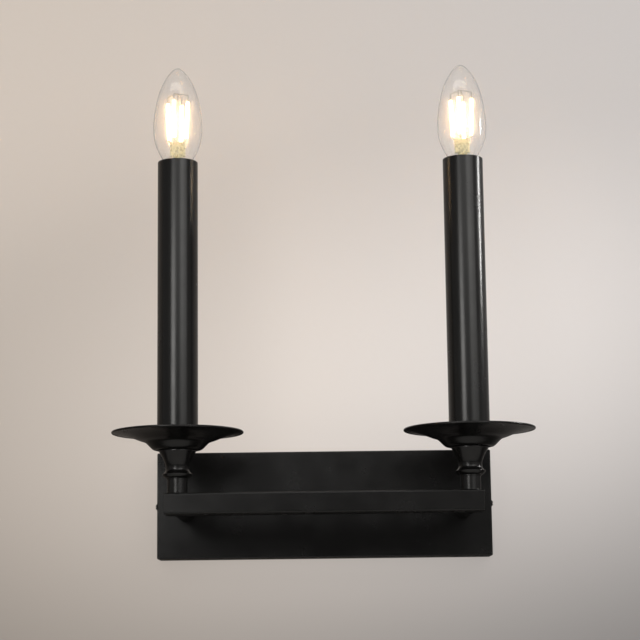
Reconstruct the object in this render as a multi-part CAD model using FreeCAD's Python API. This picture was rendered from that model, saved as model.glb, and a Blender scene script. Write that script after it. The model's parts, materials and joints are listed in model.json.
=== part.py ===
import FreeCAD, Part
import math
import os
from FreeCAD import Vector

# Wall sconce with two candle lights. All lengths are in millimetres.
# +X is to the right, -Y is out of the wall into the room, +Z is up.
# The origin is the centre of the wall bracket, on the plane of the wall.

# Canopy: a folded steel box, open at the back, that covers the wall bracket
canopy_width = 246.6
canopy_height = 78.0
canopy_depth = 25.0
canopy_sheet = 1.2
canopy_edge_radius = 1.0

# Candle places
candle_inset = 21.3  # from the canopy's end to the candle's axis
candle_reach = 80.0  # from the canopy's face to the candle's axis

# Threaded tube, nuts and washers that hold everything
rod_radius = 4.95
rod_bore_radius = 3.5
rod_end = 0.6  # how far a thread stands out of its nut
hole_clearance = 0.25
thread_clearance = 0.05
nut_across_flats = 13.0
nut_height = 3.0
nut_sides = 6
nut_room = 0.5  # between a nut in the bar and the bar's end cap
washer_radius = 9.0
washer_thickness = 0.8
washer_tooth_count = 12
washer_tooth_depth = 1.2

# Cross bar: a flat rectangular tube with a cap welded on each end
bar_height = 14.6
bar_depth = 25.0
bar_wall = 1.2
bar_edge_radius = 1.2
bar_drop = 4.85  # the bar's centre below the canopy's centre
bar_cap_thickness = 1.5

# Arms: round tubes from the canopy to the back of the bar, behind each candle
arm_step = 0.3  # how much smaller the arm's radius is than half the bar's height
arm_wall = 1.2
arm_plug_length = 12.0
arm_plug_clearance = 0.05
wire_hole_radius = 4.5

# Stem and cup below each drip pan
stem_radius = 7.1
stem_height = 10.05
cup_height = 20.5
cup_radius = 13.0
cup_neck_radius = 8.25
cup_bead_radius = 10.5
cup_lip_radius = 0.5
cup_flare_share = 0.41  # how far the flare has widened where its curve is set
cup_swell_share = 0.72  # the same for the bead's underside
cup_skirt_share = 0.28  # and for the hollow slope above it

# Drip pan: a stamped dish with a rolled rim
pan_radius = 46.2
pan_rise = 12.5  # from the underside of its floor to the middle of its rim
pan_sheet = 1.0
pan_rim_radius = 0.78
pan_seat_room = 0.6  # between the sleeve and the start of the dish's slope
pan_curve_count = 29  # places where the top of the dish is set off from its underside

# Candle sleeve: a plain tube that stands loose in the pan
sleeve_radius = 14.3
sleeve_wall = 1.2
sleeve_length = 205.5

# Lamp holder inside the sleeve's upper end
socket_radius = 11.9
socket_height = 46.0
socket_recess = 7.5  # its top below the sleeve's top
socket_base_height = 10.0
socket_entry = 8.0  # how far the threaded tube screws in
socket_spigot_height = 3.0
socket_wall = 2.4
socket_core_height = 7.3
socket_fit = 0.1
socket_chamfer = 0.6
socket_passage_radius = 4.2
shell_wall = 0.45
shell_lip = 1.5
shell_recess = 2.0
contact_thickness = 0.5
contact_width = 4.0
contact_length = 7.0
contact_bend_share = 0.5
contact_end_share = 0.25

# Candle lamp: a clear bulb of 35 mm with a small screw cap of 14 mm
bulb_radius = 17.5
bulb_length = 100.0
bulb_seating = 22.4  # how deep it screws into the lamp holder
bulb_wall = 0.9
glass_curve_count = 25  # places where the inside is set off from the outside
glass_collar_share = 0.004
cap_radius = 6.95
cap_running_clearance = 0.1
cap_height = 18.8
cap_thread_pitch = 2.82
cap_thread_depth = 0.7
cap_thread_turns = 4
cap_skirt_height = 0.8
cap_wall = 0.35
cap_neck_overlap = 6.0
cap_neck_clearance = 0.1
tip_radius = 2.6
tip_height = 1.2
tip_bulge_width_share = 0.88
tip_bulge_height_share = 0.35
insulator_height = 3.0
seat_gap = 0.1

# Glass mount, wires and filaments inside the bulb; shares are of the bulb's height above its cap
mount_radius = 3.2
mount_share = 0.28
mount_flare_share = 0.25
press_width = 11.0
press_thickness = 3.6
press_height = 10.0
press_edge_radius = 1.2
filament_radius = 0.95
filament_share = 0.415
filament_count = 4
filament_ring_radius = 6.6
filament_lean = 1.2
filament_turn = -17.0  # degrees about the candle's axis
filament_gap = 1.6  # between the press and the filaments' lower ends
bulb_wire_radius = 0.3
spoke_rise = 2.0
wire_root_share = 0.33  # of the press's thickness

# Wall bracket: a steel strip with a bent tab at each end
bracket_height = 30.0
bracket_thickness = 1.5
bracket_gap = 0.3  # between a tab and the canopy's side
bracket_bend_radius = 0.6
tab_length = 19.0
tab_height = 18.0
slot_spacing = 82.0
slot_length = 27.0
slot_width = 4.5

# Round-head screws through the canopy's sides into the bracket's tabs
side_screw_radius = 1.5
side_screw_clearance = 0.2
side_screw_grip = 2.5  # length beyond the tab
side_head_radius = 2.9
side_head_height = 2.2
cross_width = 0.7
cross_depth = 0.8
cross_share = 1.3  # the cross's length, of the head's radius

# Earth screw, its washer, two ring terminals and the earth lead
earth_screw_step = 11.5  # from the end of a slot
earth_screw_radius = 2.0
earth_head_radius = 3.8
earth_head_height = 2.6
earth_washer_radius = 4.4
earth_ring_width = 2.2
terminal_thickness = 0.8
terminal_neck = 4.0
terminal_neck_width = 3.0
barrel_radius = 1.7
barrel_length = 6.0
earth_lead_radius = 1.1
earth_lead_rise = 14.0

# Lamp leads and the two push-in connectors that join them
lead_radius = 0.9
lead_spread = 1.2  # each lead beside the axis of its tube
lead_drop = 1.35  # below the axis of the arm
lead_bend_radius = 6.0
live_lead_depth = 9.5  # from the wall
neutral_lead_depth = 13.5
connector_place = 14.0
connector_width = 15.0
connector_thickness = 7.0
connector_height = 16.0
connector_edge_radius = 1.0
connector_gap = 4.85  # above the canopy's floor
port_pitch = 4.5
port_depth = 5.0
port_clearance = 0.15
port_steps = (-1, 0, 1)

# Overrun of every cut beyond the face it goes through
overrun = 2.0

# Turns in degrees, directions, and the signs of the left and the right side
full_turn = 360
quarter_turn = 90
rightward = Vector(1, 0, 0)
inward = Vector(0, 1, 0)
upward = Vector(0, 0, 1)
sides = (-1, 1)

# Places that follow from the sizes above
canopy_front = -canopy_depth
candle_y = canopy_front - candle_reach
candle_x = canopy_width / 2 - candle_inset
bar_z = -bar_drop
bar_top = bar_z + bar_height / 2
bar_inner_top = bar_top - bar_wall
bar_half_length = candle_x + nut_across_flats / 2 + nut_room + bar_cap_thickness
bar_front = candle_y - bar_depth / 2
bar_back = candle_y + bar_depth / 2
arm_radius = bar_height / 2 - arm_step
arm_bore_radius = arm_radius - arm_wall
hole_radius = rod_radius + hole_clearance
stem_top = bar_top + stem_height
cup_top = stem_top + cup_height
pan_floor = cup_top + pan_sheet
pan_rim_z = cup_top + pan_rise
sleeve_top = pan_floor + sleeve_length
socket_top = sleeve_top - socket_recess
socket_bottom = socket_top - socket_height
socket_seam = socket_bottom + socket_base_height
core_bottom = socket_seam + socket_spigot_height
core_top = core_bottom + socket_core_height
shell_radius = cap_radius + cap_running_clearance
shell_outer_radius = shell_radius + shell_wall
bulb_bottom = socket_top - bulb_seating
bulb_top = bulb_bottom + bulb_length
cap_bottom = bulb_bottom + tip_height + insulator_height
cap_top = cap_bottom + cap_height
cap_bore_radius = cap_radius - cap_thread_depth - cap_wall
glass_bottom = cap_top - cap_neck_overlap
neck_radius = cap_bore_radius - cap_neck_clearance
glass_height = bulb_top - cap_top
press_top = cap_top + glass_height * mount_share
filament_length = glass_height * filament_share
rod_bottom = bar_inner_top - nut_height - rod_end
rod_top = socket_bottom + socket_entry
side_screw_y = canopy_front / 2
canopy_inner_front = canopy_front + canopy_sheet
tab_outer_x = canopy_width / 2 - canopy_sheet - bracket_gap
nipple_end = canopy_inner_front + washer_thickness + terminal_thickness + nut_height + rod_end
lead_z = bar_z - lead_drop
connector_top = -canopy_height / 2 + canopy_sheet + connector_gap + connector_height
earth_screw_place = slot_spacing / 2 + slot_length / 2 + earth_screw_step


def write(name, *solids):
    shape = solids[0] if len(solids) == 1 else Part.makeCompound(list(solids))
    for solid in shape.Solids:
        if not solid.isValid():
            raise ValueError("bad solid in " + name)
    shape.exportStep("parts/" + name + ".step")
    print(name, len(shape.Solids), round(shape.Volume, 1))


def block(x0, x1, y0, y1, z0, z1):
    return Part.makeBox(x1 - x0, y1 - y0, z1 - z0, Vector(x0, y0, z0))


def upright(x, y, z0, z1, radius):
    return Part.makeCylinder(radius, z1 - z0, Vector(x, y, z0))


def upright_tube(x, y, z0, z1, radius, bore):
    return upright(x, y, z0, z1, radius).cut(upright(x, y, z0 - overrun, z1 + overrun, bore))


def level(x, z, y0, y1, radius):
    return Part.makeCylinder(radius, y1 - y0, Vector(x, y0, z), inward)


def level_tube(x, z, y0, y1, radius, bore):
    return level(x, z, y0, y1, radius).cut(level(x, z, y0 - overrun, y1 + overrun, bore))


def sideways(y, z, x0, x1, radius):
    return Part.makeCylinder(radius, x1 - x0, Vector(x0, y, z), rightward)


def between(start, end, radius):
    along = end.sub(start)
    return Part.makeCylinder(radius, along.Length, start, along)


def round_edges(shape, direction, radius):
    # rounds the straight edges that run along one axis
    edges = []
    for edge in shape.Edges:
        line = edge.Vertexes[-1].Point.sub(edge.Vertexes[0].Point)
        if abs(abs(line.dot(direction)) - edge.Length) < radius / edge.Length:
            edges.append(edge)
    return shape.makeFillet(radius, edges)


def turned(edges, x, y):
    # spins a closed outline, drawn at X = radius in the XZ plane, about the candle's axis
    face = Part.Face(Part.Wire(edges))
    solid = face.revolve(Vector(), upward, full_turn)
    solid.translate(Vector(x, y, 0))
    return solid


def line(a, b):
    return Part.makeLine(Vector(a[0], 0, a[1]), Vector(b[0], 0, b[1]))


def arc(a, middle, b):
    points = [Vector(p[0], 0, p[1]) for p in (a, middle, b)]
    return Part.Arc(*points).toShape()


def curve(points):
    spline = Part.BSplineCurve()
    spline.interpolate([Vector(p[0], 0, p[1]) for p in points])
    return spline


def offset_points(spline, count, distance):
    # points beside a curve, at a distance along its normal in the XZ plane
    first = spline.FirstParameter
    last = spline.LastParameter
    points = []
    for i in range(count):
        place = first + (last - first) * i / (count - 1)
        along = spline.tangent(place)[0]
        point = spline.value(place)
        points.append((point.x - along.z * distance, point.z + along.x * distance))
    return points


def hexagon(radius_flat, height, turn):
    corner = radius_flat / math.cos(math.pi / nut_sides)
    points = []
    for i in range(nut_sides + 1):
        angle = 2 * math.pi * i / nut_sides + turn
        points.append(Vector(corner * math.cos(angle), corner * math.sin(angle), 0))
    return Part.Face(Part.makePolygon(points)).extrude(Vector(0, 0, height))


def nut():
    # stands on the XY plane with its flats facing +X and -X
    bore = Part.makeCylinder(rod_radius + thread_clearance, nut_height + 2 * overrun, Vector(0, 0, -overrun))
    flat = nut_across_flats / 2
    corner = flat / math.cos(math.pi / nut_sides)
    bevel = corner - flat
    dome = Part.makeCone(corner + nut_height - bevel / 2, flat, nut_height + corner - flat - bevel / 2)
    body = hexagon(flat, nut_height, math.pi / nut_sides).common(dome)
    return body.cut(bore)


def upright_nut(x, y, z):
    part = nut()
    part.translate(Vector(x, y, z))
    return part


def level_nut(x, y, z):
    # the seat faces -Y
    part = nut()
    part.rotate(Vector(), rightward, -quarter_turn)
    part.translate(Vector(x, y, z))
    return part


def toothed_washer(x, y, z):
    # lies against a face at y and reaches towards +Y
    ring = level_tube(x, z, y, y + washer_thickness, washer_radius, hole_radius)
    for i in range(washer_tooth_count):
        angle = 2 * math.pi * i / washer_tooth_count
        notch = level(x + washer_radius * math.cos(angle), z + washer_radius * math.sin(angle),
                      y - overrun, y + washer_thickness + overrun, washer_tooth_depth)
        ring = ring.cut(notch)
    return ring


def bent_path(points, radius):
    # straight runs joined by tangent arcs
    edges = []
    start = points[0]
    for before, corner, after in zip(points, points[1:], points[2:]):
        back = before.sub(corner).normalize()
        ahead = after.sub(corner).normalize()
        half = back.getAngle(ahead) / 2
        cut = radius / math.tan(half)
        first = corner.add(Vector(back).multiply(cut))
        last = corner.add(Vector(ahead).multiply(cut))
        middle_way = back.add(ahead).normalize()
        centre = corner.add(Vector(middle_way).multiply(radius / math.sin(half)))
        middle = centre.sub(Vector(middle_way).multiply(radius))
        edges.append(Part.LineSegment(start, first).toShape())
        edges.append(Part.Arc(first, middle, last).toShape())
        start = last
    edges.append(Part.LineSegment(start, points[-1]).toShape())
    return Part.Wire(edges)


def wire(points, wire_radius, bend_radius):
    path = bent_path(points, bend_radius)
    along = points[1].sub(points[0])
    ring = Part.Wire(Part.makeCircle(wire_radius, points[0], along))
    solid = path.makePipeShell([ring], True, False)
    expected = math.pi * wire_radius ** 2 * path.Length
    print("lead length", round(path.Length, 1), "volume share", round(solid.Volume / expected, 4))
    return solid


def cross_recess(centre, outward, radius):
    # a cross cut into a screw head at the top of its dome
    long = radius * cross_share
    cutter = None
    for tall, wide in ((long, cross_width), (cross_width, long)):
        bar = Part.makeBox(cross_depth + overrun, wide, tall)
        bar.translate(Vector(-cross_depth, -wide / 2, -tall / 2))
        cutter = bar if cutter is None else cutter.fuse(bar)
    turn = FreeCAD.Rotation(rightward, outward)
    cutter.Placement = FreeCAD.Placement(centre, turn)
    return cutter


def screw(head_seat, outward, shank_radius, shank_length, head_radius, head_height):
    # a dome-headed screw, its head's underside at head_seat
    shank = Part.makeCylinder(shank_radius, shank_length, head_seat, Vector(outward).multiply(-1))
    sphere_radius = (head_radius ** 2 + head_height ** 2) / (2 * head_height)
    centre = head_seat.add(Vector(outward).multiply(head_height - sphere_radius))
    ball = Part.makeSphere(sphere_radius, centre)
    disc = Part.makeCylinder(head_radius, head_height, head_seat, outward)
    head = ball.common(disc)
    crown = head_seat.add(Vector(outward).multiply(head_height))
    return head.fuse(shank).cut(cross_recess(crown, outward, head_radius))


def make_canopy():
    half_w = canopy_width / 2
    half_h = canopy_height / 2
    shell = block(-half_w, half_w, canopy_front, 0, -half_h, half_h)
    edges = [e for e in shell.Edges if e.BoundBox.YMin < canopy_front + canopy_sheet]
    shell = shell.makeFillet(min(canopy_edge_radius, canopy_sheet), edges)
    inner_w = half_w - canopy_sheet
    inner_h = half_h - canopy_sheet
    shell = shell.cut(block(-inner_w, inner_w, canopy_inner_front, overrun, -inner_h, inner_h))
    for side in sides:
        shell = shell.cut(level(side * candle_x, bar_z, canopy_front - overrun,
                                canopy_inner_front + overrun, hole_radius))
    radius = side_screw_radius + side_screw_clearance
    return shell.cut(sideways(side_screw_y, 0, -half_w - overrun, half_w + overrun, radius))


def slot_cut(x):
    # a slot along X through the bracket, centred on the bracket's middle line
    radius = slot_width / 2
    straight = slot_length / 2 - radius
    low = -bracket_thickness - overrun
    cut = block(x - straight, x + straight, low, overrun, -radius, radius)
    for end in (-straight, straight):
        cut = cut.fuse(level(x + end, 0, low, overrun, radius))
    return cut


def make_bracket():
    half_h = bracket_height / 2
    inner_x = tab_outer_x - bracket_thickness
    body = block(-tab_outer_x, tab_outer_x, -tab_length, 0, -half_h, half_h)
    body = body.cut(block(-inner_x, inner_x, -tab_length - overrun, -bracket_thickness,
                          -half_h - overrun, half_h + overrun))
    outer = [e for e in body.Edges if e.BoundBox.ZLength > half_h and abs(e.BoundBox.YMax) < bracket_gap / 2]
    body = body.makeFillet(bracket_bend_radius + bracket_thickness, outer)
    inner = [e for e in body.Edges if e.BoundBox.ZLength > half_h
             and abs(e.BoundBox.YMax + bracket_thickness) < bracket_gap / 2
             and e.BoundBox.YLength < bracket_gap / 2]
    body = body.makeFillet(bracket_bend_radius, inner)
    bend = bracket_thickness + bracket_bend_radius
    for side in sides:
        low = -half_h - overrun if side < 0 else tab_height / 2
        high = -tab_height / 2 if side < 0 else half_h + overrun
        for x in (-tab_outer_x - overrun, inner_x - overrun):
            wide = bracket_thickness + 2 * overrun
            body = body.cut(block(x, x + wide, -tab_length - overrun, -bend, low, high))
    for side in sides:
        body = body.cut(slot_cut(side * slot_spacing / 2))
    body = body.cut(level(earth_screw_place, 0, -bracket_thickness - overrun, overrun,
                          earth_screw_radius + thread_clearance))
    return body.cut(sideways(side_screw_y, 0, -canopy_width, canopy_width,
                             side_screw_radius + thread_clearance))


def make_side_screws():
    screws = []
    length = canopy_sheet + bracket_gap + bracket_thickness + side_screw_grip
    for side in sides:
        seat = Vector(side * canopy_width / 2, side_screw_y, 0)
        screws.append(screw(seat, Vector(side, 0, 0), side_screw_radius, length,
                            side_head_radius, side_head_height))
    return screws


def make_bar():
    half_l = bar_half_length - bar_cap_thickness
    half_h = bar_height / 2
    body = block(-half_l, half_l, bar_front, bar_back, bar_z - half_h, bar_z + half_h)
    body = round_edges(body, rightward, bar_edge_radius)
    body = body.cut(block(-half_l - overrun, half_l + overrun, bar_front + bar_wall, bar_back - bar_wall,
                          bar_z - half_h + bar_wall, bar_z + half_h - bar_wall))
    for side in sides:
        x = side * candle_x
        body = body.cut(upright(x, candle_y, bar_inner_top - overrun, bar_top + overrun, hole_radius))
        body = body.cut(level(x, bar_z, bar_back - bar_wall - overrun, bar_back + overrun,
                              min(wire_hole_radius, arm_bore_radius)))
    return body


def make_bar_cap(side):
    half_h = bar_height / 2
    x0 = bar_half_length - bar_cap_thickness
    x1 = bar_half_length
    cap = block(x0, x1, bar_front, bar_back, bar_z - half_h, bar_z + half_h)
    cap = round_edges(cap, rightward, bar_edge_radius)
    rim = [e for e in cap.Edges if e.BoundBox.XMin > x1 - bar_cap_thickness / 2]
    cap = cap.makeFillet(min(bar_edge_radius, bar_cap_thickness) / 2, rim)
    return cap if side > 0 else cap.mirror(Vector(), rightward)


def make_arm(side):
    return level_tube(side * candle_x, bar_z, bar_back, canopy_front, arm_radius, arm_bore_radius)


def make_arm_nipple(side):
    # a turned plug brazed into the arm's end, with a threaded tail through the canopy
    x = side * candle_x
    plug = level(x, bar_z, canopy_front - arm_plug_length, canopy_front, arm_bore_radius - arm_plug_clearance)
    tail = level(x, bar_z, canopy_front, nipple_end, rod_radius)
    bore = level(x, bar_z, canopy_front - arm_plug_length - overrun, nipple_end + overrun, rod_bore_radius)
    return plug.fuse(tail).removeSplitter().cut(bore)


def make_stem(side):
    return upright_tube(side * candle_x, candle_y, bar_top, stem_top, stem_radius, hole_radius)


def make_cup(side):
    # a bead, a neck and a flared cup in one turned piece; heights are shares of the whole
    def at(share):
        return stem_top + cup_height * share

    foot_share = 0.034
    swell_share = 0.093
    bead_share = 0.171
    crest_share = 0.195
    skirt_share = 0.254
    neck_share = 0.346
    neck_end_share = 0.449
    flare_share = 0.717
    band_share = 0.951
    foot = (stem_radius + cup_neck_radius) / 2
    swell = foot + (cup_bead_radius - foot) * cup_swell_share
    skirt = cup_neck_radius + (cup_bead_radius - cup_neck_radius) * cup_skirt_share
    flare = cup_neck_radius + (cup_radius - cup_neck_radius) * cup_flare_share
    lip = cup_radius - cup_lip_radius
    lip_middle = cup_lip_radius * (1 - math.cos(math.pi / 4))
    points = {
        "bore_low": (hole_radius, stem_top),
        "foot": (foot, stem_top),
        "foot_top": (foot, at(foot_share)),
        "bead": (cup_bead_radius, at(bead_share)),
        "crest": (cup_bead_radius, at(crest_share)),
        "neck": (cup_neck_radius, at(neck_share)),
        "neck_end": (cup_neck_radius, at(neck_end_share)),
        "band": (cup_radius, at(band_share)),
        "band_top": (cup_radius, cup_top - cup_lip_radius),
        "lip": (lip, cup_top),
        "bore_high": (hole_radius, cup_top),
    }
    lip_bulge = (cup_radius - lip_middle, cup_top - lip_middle)
    edges = [
        line(points["bore_low"], points["foot"]),
        line(points["foot"], points["foot_top"]),
        arc(points["foot_top"], (swell, at(swell_share)), points["bead"]),
        line(points["bead"], points["crest"]),
        arc(points["crest"], (skirt, at(skirt_share)), points["neck"]),
        line(points["neck"], points["neck_end"]),
        arc(points["neck_end"], (flare, at(flare_share)), points["band"]),
        line(points["band"], points["band_top"]),
        arc(points["band_top"], lip_bulge, points["lip"]),
        line(points["lip"], points["bore_high"]),
        line(points["bore_high"], points["bore_low"]),
    ]
    return turned(edges, side * candle_x, candle_y)


def make_pan(side):
    # underside of the dish, from its floor to its rim, as shares of its slope's width and rise
    slope_shares = [
        (0.000, 0.000), (0.040, 0.006), (0.078, 0.045), (0.120, 0.132), (0.180, 0.280), (0.232, 0.402),
        (0.272, 0.466), (0.318, 0.505), (0.390, 0.562), (0.462, 0.632), (0.550, 0.715), (0.642, 0.790),
        (0.757, 0.862), (0.888, 0.922), (1.000, 0.952),
    ]
    seat = sleeve_radius + pan_seat_room
    edge = pan_radius - pan_rim_radius
    width = edge - seat
    under = curve([(seat + width * r, cup_top + pan_rise * z) for r, z in slope_shares])
    over = curve([(seat, pan_floor)] + offset_points(under, pan_curve_count, pan_sheet)[1:])
    under_edge = under.toShape()
    over_edge = over.toShape()
    under_end = under.EndPoint
    over_end = over.EndPoint
    edges = [
        line((hole_radius, cup_top), (seat, cup_top)),
        under_edge,
        line((under_end.x, under_end.z), (over_end.x, over_end.z)),
        over_edge,
        line((seat, pan_floor), (hole_radius, pan_floor)),
        line((hole_radius, pan_floor), (hole_radius, cup_top)),
    ]
    dish = turned(edges, side * candle_x, candle_y)
    rim_place = Vector(side * candle_x, candle_y, (under_end.z + over_end.z) / 2)
    return dish.fuse(Part.makeTorus(edge, pan_rim_radius, rim_place))


def make_rod(side):
    return upright_tube(side * candle_x, candle_y, rod_bottom, rod_top, rod_radius, rod_bore_radius)


def make_pan_washer(side):
    return upright_tube(side * candle_x, candle_y, pan_floor, pan_floor + washer_thickness,
                        washer_radius, hole_radius)


def make_socket_base(side):
    x = side * candle_x
    base = upright(x, candle_y, socket_bottom, socket_seam, socket_radius)
    rim = [e for e in base.Edges if e.BoundBox.ZMax < socket_bottom + socket_chamfer]
    base = base.makeChamfer(socket_chamfer, rim)
    spigot = upright(x, candle_y, socket_seam, core_bottom, socket_radius - socket_wall - socket_fit)
    thread = upright(x, candle_y, socket_bottom - overrun, rod_top, rod_radius + thread_clearance)
    passage = upright(x, candle_y, rod_top - overrun, core_bottom + overrun, socket_passage_radius)
    return base.fuse(spigot).removeSplitter().cut(thread).cut(passage)


def make_socket_body(side):
    x = side * candle_x
    body = upright(x, candle_y, socket_seam, socket_top, socket_radius)
    rim = [e for e in body.Edges if e.BoundBox.ZMin > socket_top - socket_chamfer]
    body = body.makeChamfer(socket_chamfer, rim)
    body = body.cut(upright(x, candle_y, socket_seam - overrun, core_top, socket_radius - socket_wall))
    return body.cut(upright(x, candle_y, core_top - overrun, socket_top + overrun,
                            shell_outer_radius + socket_fit))


def make_socket_core(side):
    return upright(side * candle_x, candle_y, core_bottom, core_top, socket_radius - socket_wall - socket_fit)


def make_socket_shell(side):
    x = side * candle_x
    shell = upright(x, candle_y, core_top, socket_top - shell_recess, shell_outer_radius)
    shell = shell.cut(upright(x, candle_y, core_top + shell_wall, socket_top, shell_radius))
    return shell.cut(upright(x, candle_y, core_top - overrun, socket_top, shell_radius - shell_lip))


def make_socket_contact(side):
    # a bent leaf that stands on the core and reaches up to the lamp's tip
    x = side * candle_x
    low = core_top
    high = bulb_bottom - seat_gap
    half = contact_length / 2
    thick = contact_thickness
    outline = [
        (-half, low), (0, low), (half * contact_bend_share, high - thick), (half, high - thick),
        (half, high), (half * contact_end_share, high), (-thick / 2, low + thick), (-half, low + thick),
    ]
    points = [Vector(x + px, candle_y - contact_width / 2, pz) for px, pz in outline]
    face = Part.Face(Part.makePolygon(points + points[:1]))
    return face.extrude(Vector(0, contact_width, 0))


def make_sleeve(side):
    return upright_tube(side * candle_x, candle_y, pan_floor, sleeve_top,
                        sleeve_radius, sleeve_radius - sleeve_wall)


def make_bulb_glass(side):
    # outside of the bulb from neck to crown, as shares of its radius and of its height above the cap
    glass_shares = [
        (0.418, 0.022), (0.475, 0.052), (0.600, 0.108), (0.752, 0.170), (0.905, 0.252), (0.985, 0.330),
        (1.000, 0.412), (0.992, 0.485), (0.940, 0.585), (0.857, 0.685), (0.757, 0.768), (0.622, 0.842),
        (0.445, 0.912), (0.225, 0.975), (0.000, 1.000),
    ]
    height = glass_height
    collar = (bulb_radius * glass_shares[0][0], cap_top + height * glass_collar_share)
    outside_points = [(bulb_radius * r, cap_top + height * z) for r, z in glass_shares]
    outside = Part.BSplineCurve()
    vectors = [Vector(p[0], 0, p[1]) for p in outside_points]
    outside.interpolate(Points=vectors, InitialTangent=Vector(0, 0, height),
                        FinalTangent=Vector(-bulb_radius * 2, 0, 0))
    inside_points = offset_points(outside, glass_curve_count, bulb_wall)
    inside_points[-1] = (0, bulb_top - bulb_wall)
    inside = Part.BSplineCurve()
    inside.interpolate(Points=[Vector(p[0], 0, p[1]) for p in inside_points],
                       InitialTangent=Vector(0, 0, height), FinalTangent=Vector(-bulb_radius * 2, 0, 0))
    neck_bore = neck_radius - bulb_wall
    shoulder = inside_points[0]
    edges = [
        line((neck_bore, glass_bottom), (neck_radius, glass_bottom)),
        line((neck_radius, glass_bottom), (neck_radius, cap_top)),
        line((neck_radius, cap_top), (collar[0], collar[1])),
        line((collar[0], collar[1]), outside_points[0]),
        outside.toShape(),
        line((0, bulb_top), (0, bulb_top - bulb_wall)),
        inside.toShape(),
        line(shoulder, (neck_bore, cap_top)),
        line((neck_bore, cap_top), (neck_bore, glass_bottom)),
    ]
    return turned(edges, side * candle_x, candle_y)


def make_bulb_cap(side):
    # screw cap with rounded threads, drawn as rings
    root = cap_radius - cap_thread_depth
    z = cap_bottom + (cap_height - cap_thread_turns * cap_thread_pitch) / 2 - cap_skirt_height
    edges = [line((cap_bore_radius, cap_bottom), (root, cap_bottom))]
    edges.append(line((root, cap_bottom), (root, z)))
    for turn in range(cap_thread_turns):
        crest = (cap_radius, z + cap_thread_pitch / 2)
        end = (root, z + cap_thread_pitch)
        edges.append(arc((root, z), crest, end))
        z = z + cap_thread_pitch
    points = [(root, z), (root, cap_top - 2 * cap_skirt_height), (cap_radius, cap_top - cap_skirt_height),
              (cap_radius, cap_top), (cap_bore_radius, cap_top), (cap_bore_radius, cap_bottom)]
    for a, b in zip(points, points[1:]):
        edges.append(line(a, b))
    return turned(edges, side * candle_x, candle_y)


def make_bulb_insulator(side):
    low = bulb_bottom + tip_height
    root = cap_radius - cap_thread_depth
    edges = [
        line((0, low), (tip_radius, low)),
        line((tip_radius, low), (root, cap_bottom)),
        line((root, cap_bottom), (0, cap_bottom)),
        line((0, cap_bottom), (0, low)),
    ]
    return turned(edges, side * candle_x, candle_y)


def make_bulb_tip(side):
    high = bulb_bottom + tip_height
    low = (tip_radius / 2, bulb_bottom)
    bulge = (tip_radius * tip_bulge_width_share, bulb_bottom + tip_height * tip_bulge_height_share)
    edges = [
        line((0, bulb_bottom), low),
        arc(low, bulge, (tip_radius, high)),
        line((tip_radius, high), (0, high)),
        line((0, high), (0, bulb_bottom)),
    ]
    return turned(edges, side * candle_x, candle_y)


def make_bulb_mount(side):
    # glass flare, tube and flat press that carry the wires
    flare = neck_radius - bulb_wall
    press_bottom = press_top - press_height
    bulge = (mount_radius + (flare - mount_radius) * mount_flare_share,
             glass_bottom + press_height * mount_flare_share)
    edges = [
        line((0, glass_bottom), (flare, glass_bottom)),
        arc((flare, glass_bottom), bulge, (mount_radius, glass_bottom + press_height / 2)),
        line((mount_radius, glass_bottom + press_height / 2), (mount_radius, press_bottom + press_edge_radius)),
        line((mount_radius, press_bottom + press_edge_radius), (0, press_bottom + press_edge_radius)),
        line((0, press_bottom + press_edge_radius), (0, glass_bottom)),
    ]
    foot = turned(edges, side * candle_x, candle_y)
    x = side * candle_x
    press = block(x - press_width / 2, x + press_width / 2, candle_y - press_thickness / 2,
                  candle_y + press_thickness / 2, press_bottom, press_top)
    press = round_edges(press, upward, press_edge_radius)
    return foot.fuse(press)


def filament_ends(side, index):
    # lower and upper end of one filament, leaning outwards
    angle = math.radians(filament_turn) + 2 * math.pi * index / filament_count
    out = Vector(math.cos(angle), math.sin(angle), 0)
    low = Vector(side * candle_x, candle_y, press_top + filament_gap)
    high = Vector(low.x, low.y, low.z + filament_length)
    low = low.add(Vector(out).multiply(filament_ring_radius))
    high = high.add(Vector(out).multiply(filament_ring_radius + filament_lean))
    return low, high


def make_bulb_filaments(side):
    return [between(*filament_ends(side, i), filament_radius) for i in range(filament_count)]


def make_bulb_wires(side):
    # a mast whose hub has a spoke to the top of each filament, and a foot to each lower end
    base = Vector(side * candle_x, candle_y, press_top)
    tops = filament_ends(side, 0)[1].z + filament_gap / 2
    hub = Vector(base.x, base.y, tops + spoke_rise)
    radius = bulb_wire_radius
    wires = between(base, hub, radius).fuse(Part.makeSphere(radius, hub))
    for i in range(filament_count):
        low, high = filament_ends(side, i)
        along = high.sub(low).normalize()
        stub = Vector(along).multiply(filament_gap / 2)
        top = high.add(stub)
        bottom = low.sub(stub)
        out = Vector(low.x - base.x, low.y - base.y, 0).normalize()
        root = base.add(out.multiply(press_thickness * wire_root_share))
        for a, b in ((high, top), (top, hub), (low, bottom), (bottom, root)):
            wires = wires.fuse(between(a, b, radius))
        for joint in (top, bottom):
            wires = wires.fuse(Part.makeSphere(radius, joint))
    return wires.cut(make_bulb_mount(side))


def lead_route(side, outer):
    # from the lamp holder down the threaded tube, back through the arm and along to its connector
    spread = lead_spread if outer else -lead_spread
    x = side * (candle_x + spread)
    y = -live_lead_depth if outer else -neutral_lead_depth
    place = -connector_place if outer else connector_place
    near = (side < 0) == outer
    port = place + (math.copysign(port_pitch, place) if near else 0)
    return [
        Vector(x, candle_y, core_bottom),
        Vector(x, candle_y, lead_z),
        Vector(x, y, lead_z),
        Vector(port, y, lead_z),
        Vector(port, y, connector_top - port_depth),
    ]


def make_leads(side):
    return [wire(lead_route(side, outer), lead_radius, lead_bend_radius) for outer in (True, False)]


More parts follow.
